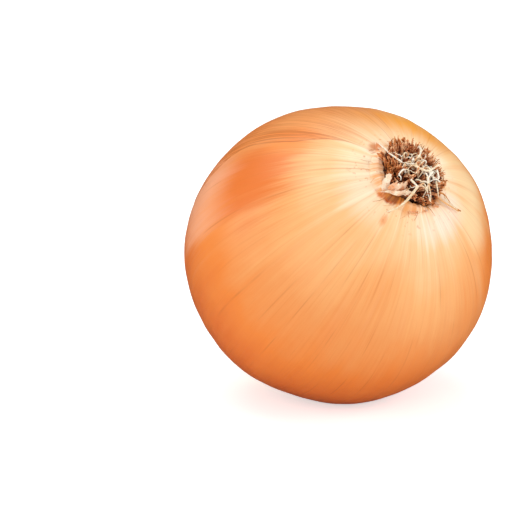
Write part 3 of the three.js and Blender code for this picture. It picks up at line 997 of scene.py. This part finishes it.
def growBundle(mesh, dice, angle, foot, count):
    share = foot / 8.4
    turn = halfTurn(degrees(angle))
    pull = min((halfTurn(towards - turn) for towards in stubs["gather"]), key=abs)
    leanRound = angle + radians(pull) * 0.6 + dice.uniform(-0.2, 0.2)
    leanOut = radians(4 + 72 * share**2 + dice.uniform(-12, 12))
    low = stubs["lowSide"][0] < turn < stubs["lowSide"][1] and foot > 3.5
    shorter = (1.1 - 0.25 * share) * (stubs["lowLength"] if low else 1)
    tone = dice.random()
    for _ in range(dice.randint(*count)):
        away, towards = dice.uniform(0, stubs["bundleRadius"]), dice.uniform(0, 2 * pi)
        start = spot(angle, foot) + spot(towards, away)
        start.z = plateTop(hypot(start.x, start.y)) + 0.4
        length = dice.uniform(*stubs["length"]) * shorter
        thickness = dice.uniform(*stubs["thickness"])
        around, out = leanRound + dice.uniform(-0.16, 0.16), leanOut + dice.uniform(-0.16, 0.16)
        growStub(mesh, dice, start, around, out, length, thickness, mix(tone, dice.random(), 0.4))


def makeStubs():
    dice = random.Random(stubs["seed"])
    mesh = bmesh.new()
    mesh.verts.layers.float.new("tone")
    goldenTurn = pi * (3 - sqrt(5))
    for i in range(stubs["bundles"]):
        foot = stubs["spread"] * sqrt((i + 0.5) / stubs["bundles"]) * plateShare(i * goldenTurn)
        growBundle(mesh, dice, i * goldenTurn, foot, stubs["inBundle"])
    for i in range(stubs["edgeBundles"]):
        angle = (i + dice.uniform(-0.3, 0.3)) / stubs["edgeBundles"] * 2 * pi
        foot = min(clumpReach(angle) - 1.2, dice.uniform(*stubs["edgeFoot"]) * plateShare(angle))
        growBundle(mesh, dice, angle, foot, stubs["inEdgeBundle"])
    for _ in range(stubs["wisps"]):
        angle = dice.uniform(0, 2 * pi)
        share = sqrt(dice.random())
        foot = stubs["wispSpread"] * share
        start = spot(angle, foot, plateTop(foot) + 0.2)
        leanOut = radians(78) * share**1.5 + dice.uniform(-0.4, 0.4)
        around = angle + dice.uniform(-0.9, 0.9)
        length, thickness = dice.uniform(*stubs["wispLength"]), dice.uniform(*stubs["wispThickness"])
        growStub(mesh, dice, start, around, leanOut, length, thickness, dice.random())
    noise.seed_set(stubs["seed"])  # or the clock sets it, and each run differs
    for vert in mesh.verts:
        vert.co += noise.noise_vector(vert.co * 1.9) * stubs["ragged"]
    finishRoots(mesh, "rootStubs", "dryStubs")


paleRoots = {
    "long": [  # thickness, then the points it passes: degrees round, radius, height above the root end
        [0.62, (137, 5.0, 4.4), (112, 6.3, 4.3)],
        [0.74, (114, 6.1, 4.4), (121, 7.9, 2.8), (126, 9.5, 1.2), (133, 11.5, 0.0), (140, 13.2, -1.0)],
        [0.5, (-162, 4.4, 4.8), (-147, 5.8, 4.2), (-136, 7.2, 3.2), (-123, 8.9, 1.7), (-112, 10.8, -0.4)],
        [0.62, (-56, 6.6, 3.8), (-54, 4.8, 4.9), (-58, 2.8, 5.2), (-84, 1.6, 5.3)],
        [0.7, (176, 1.4, 5.2), (88, 1.6, 5.4), (41, 3.1, 4.9), (3, 6.6, 3.6), (-4, 8.0, 2.8)],
        [0.58, (73, 3.7, 4.8), (81, 5.8, 4.1), (80, 7.7, 2.7), (80, 8.9, 1.3)],
        [0.5, (53, 6.0, 4.1), (58, 7.6, 2.8), (57, 9.1, 0.8)],
        [0.5, (33, 4.3, 4.7), (76, 4.2, 5.3), (82, 5.0, 4.6)],
        [0.45, (56, 3.9, 4.8), (45, 6.3, 4.0), (42, 7.2, 3.3)],
        [0.42, (106, 5.3, 4.2), (94, 6.1, 4.0), (85, 7.2, 3.2)],
        [0.4, (20, 5.6, 4.4), (44, 6.2, 4.6), (60, 5.4, 4.9), (52, 4.4, 5.0)],
        [0.4, (45, 10.4, 0.1), (45, 13.0, -1.1), (42, 15.2, -2.2)],
    ],
    "tan": [
        [0.46, (51, 8.4, 1.2), (43, 10.1, 0.3), (44, 13.2, -1.3), (40, 16.4, -2.8)],
        [0.5, (55, 8.6, 0.6), (54, 9.9, 0.1), (47, 12.6, -1.2), (41, 16.0, -2.9)],
    ],
    "threads": 44,
    "threadThickness": (0.11, 0.27),  # half of it
    "hairs": 18,  # dry hairs that lie on the skin round the tuft
    "hairLength": (1.6, 4.2),
    "hairThickness": (0.05, 0.09),
    "seed": 7,
}


def finishRoots(mesh, name, finish):
    layDown(mesh)
    bmesh.ops.recalc_face_normals(mesh, faces=mesh.faces)
    finishPiece(mesh, name, makeRootMaterial(finish), "root_tuft")


def tapered(thickness, tipShare, path):
    last = len(path) - 1
    return [thickness * mix(1, tipShare, i / last) for i in range(last + 1)]


def makeLongRoots(rows, dice):
    mesh = bmesh.new()
    mesh.verts.layers.float.new("tone")
    for thickness, *stops in rows:
        path = throughPoints([clearOfSkin(polarPoint(*stop), thickness / 2) for stop in stops], 6)
        radii = [radius * dice.uniform(0.85, 1.15) for radius in tapered(thickness / 2, 0.6, path)]
        growRoot(mesh, path, radii, 8, dice.random())
    return mesh


def addThreads(mesh, dice):  # fine threads tangled over the middle and the lower right
    for i in range(paleRoots["threads"]):
        aside = i % 4 == 1
        direction = dice.uniform(10, 100) if aside else dice.uniform(-180, 180)
        radius = dice.uniform(3.0, 6.0) if aside else 4.6 * dice.random()
        stops = [polarPoint(direction, radius, 4.2 - radius * 0.12)]
        heading = radians(direction + dice.uniform(-110, 110))
        bending = dice.uniform(-1.0, 1.0)
        for step in range(1, 6):
            heading += bending * dice.uniform(0.4, 1.2)
            moved = stops[-1] + spot(heading, dice.uniform(0.5, 0.8))
            sagging = 0.035 * hypot(moved.x, moved.y) ** 2
            lift = 4.5 - sagging + 0.9 * sin(step * dice.uniform(0.6, 1.1))
            moved.z = -bulb["rootHeight"] - max(lift, 1.2)
            stops.append(moved)
        thickness = dice.uniform(*paleRoots["threadThickness"])
        path = throughPoints([clearOfSkin(stop, thickness) for stop in stops], 4)
        growRoot(mesh, path, tapered(thickness, 0.6, path), 6, dice.random())


def addHairs(mesh, dice):
    for i in range(paleRoots["hairs"]):
        direction = i * 360 / paleRoots["hairs"] + dice.uniform(-9, 9)
        start, length = dice.uniform(8.6, 9.6), dice.uniform(*paleRoots["hairLength"])
        bow, thickness = dice.uniform(-12, 12), dice.uniform(*paleRoots["hairThickness"])
        stops = []
        for step in range(4):
            share = step / 3
            radius = start + length * share
            lift = 0.12 + 0.5 * sin(pi * share) * dice.random() - bulb["rootHeight"]
            stops.append(polarPoint(direction + bow * share**2, radius, lift - rootRise(radius)))
        path = throughPoints(stops, 3)
        growRoot(mesh, path, tapered(thickness, 0.5, path), 5, dice.random())


rootTints = {  # dark, middling, light
    "corkyPlate": (colour(40, 20, 12), colour(70, 38, 22), colour(110, 62, 34)),
    "dryStubs": (colour(98, 38, 14), colour(216, 126, 72), colour(255, 212, 164)),
    "paleStrands": (colour(236, 204, 160), colour(250, 232, 200), colour(255, 247, 230)),
    "tanStrands": (colour(176, 96, 36), colour(212, 138, 72), colour(244, 190, 130)),
}
fringeTint = colour(220, 132, 60)


def makeRootMaterial(name):
    material, tree, shader = newMaterial(name, Specular_IOR_Level=0.25)
    local, round_, polar, radius, _ = useGroup(tree, onionPlace)
    dark, middling, light = rootTints[name]
    speckle = noiseAt(tree, local, 1.6, 4.0, 0.6)
    share = smoothStep(tree, speckle, 0.36, 0.66)
    if name != "corkyPlate":
        share = maths(tree, "MULTIPLY_ADD", share, 0.35, times(tree, attribute(tree, "tone"), 0.65))
    tint = addRamp(tree, share, [(0.1, dark), (0.36, middling), (0.68, light)])
    if name == "dryStubs":  # the outermost ones are more orange
        golden = times(tree, blotchMask(tree, round_, polar, (-164, 9.5), (36, 5)), 0.6)
        fringe = maths(tree, "MAXIMUM", smoothStep(tree, radius, 7.0, 9.6, 0.0, 0.5), golden)
        tint = mixColour(tree, fringe, tint, fringeTint)
    rough = smoothStep(tree, speckle, 0.3, 0.7, 0.7, 0.95)
    finishShader(tree, shader, tint, rough, noiseAt(tree, local, 5.0), 0.6)
    return material


def makeRoots():
    makeRootPlate()
    makeStubs()
    dice = random.Random(paleRoots["seed"])
    pale = makeLongRoots(paleRoots["long"], dice)
    addThreads(pale, dice)
    finishRoots(pale, "paleRoots", "paleStrands")
    darker = makeLongRoots(paleRoots["tan"], dice)
    addHairs(darker, dice)
    finishRoots(darker, "tanRoots", "tanStrands")


makeRoots()
print("root tuft built")

# Studio: a white table and surroundings, with soft lights
studio = {
    "floorSize": 30.0,
    "floorTint": (0.86, 0.86, 0.86, 1),
    "floorGlow": 0.56,  # what the camera sees on top of the light that falls on the table
    "surround": (0.3, 0.65),  # light from all round: behind the onion, and on the side it is seen from
    "frontSide": (-0.56, -0.79, 0.24),
    "inReflections": 0.2,  # how much of it the skin reflects
    "backdrop": 1.05,  # what the camera sees behind the onion
    "lights": [  # name, place, size, power, tint
        ("keyRight", (0.64, -0.66, 0.38), 0.8, 3.8, (1.0, 0.98, 0.96)),
        ("topSoft", (-0.05, 0.2, 0.88), 0.9, 3.6, (1.0, 1.0, 1.0)),
        ("frontFill", (-0.8, -0.75, 0.34), 1.0, 3.5, (1.0, 0.98, 0.96)),
        ("leftSide", (-0.95, 0.3, 0.45), 0.6, 1.7, (1.0, 1.0, 1.0)),
    ],
}


def makeFloor():
    mesh = bmesh.new()
    bmesh.ops.create_grid(mesh, x_segments=1, y_segments=1, size=studio["floorSize"] / 2)
    data = meshData(mesh, "floor")
    material, tree, shader = newMaterial("whiteTable", Base_Color=studio["floorTint"], Roughness=0.9)
    shader.inputs["Emission Color"].default_value = (1, 1, 1, 1)
    seen = addNode(tree, "LightPath").outputs["Is Camera Ray"]
    tree.links.new(times(tree, seen, studio["floorGlow"]), shader.inputs["Emission Strength"])
    data.materials.append(material)
    floor = addObject("floor", data)
    floor.visible_glossy = False  # or the skin mirrors the table as a pale veil


def makeStudio():
    makeFloor()
    world = bpy.data.worlds.new("studio")
    world.use_nodes = True
    tree = world.node_tree
    background = tree.nodes["Background"]
    background.inputs["Color"].default_value = (1, 1, 1, 1)
    seen = addNode(tree, "LightPath").outputs["Is Camera Ray"]
    direction = addNode(tree, "TexCoord").outputs["Generated"]
    inputs = {0: direction, 1: studio["frontSide"]}
    facing = addNode(tree, "VectorMath", inputs, operation="DOT_PRODUCT").outputs[1]
    around = smoothStep(tree, facing, -0.9, 0.7, *studio["surround"])
    reflected = addNode(tree, "LightPath").outputs["Is Glossy Ray"]
    around = times(tree, around, smoothStep(tree, reflected, 0.0, 1.0, 1.0, studio["inReflections"]))
    strength = addNode(tree, "Mix", {0: seen, 2: around, 3: studio["backdrop"]}).outputs[0]
    tree.links.new(strength, background.inputs["Strength"])
    bpy.context.scene.world = world
    for name, place, size, power, tint in studio["lights"]:
        data = bpy.data.lights.new(name, "AREA")
        data.shape = "DISK"
        data.size = size
        data.energy = power
        data.color = tint
        lamp = addObject(name, data)
        lamp.location = place
        lamp.rotation_euler = (lamp.location - Vector(placing["centre"])).to_track_quat("Z", "Y").to_euler()
    bpy.context.scene.view_settings.view_transform = "Standard"


makeStudio()
print("studio lit")
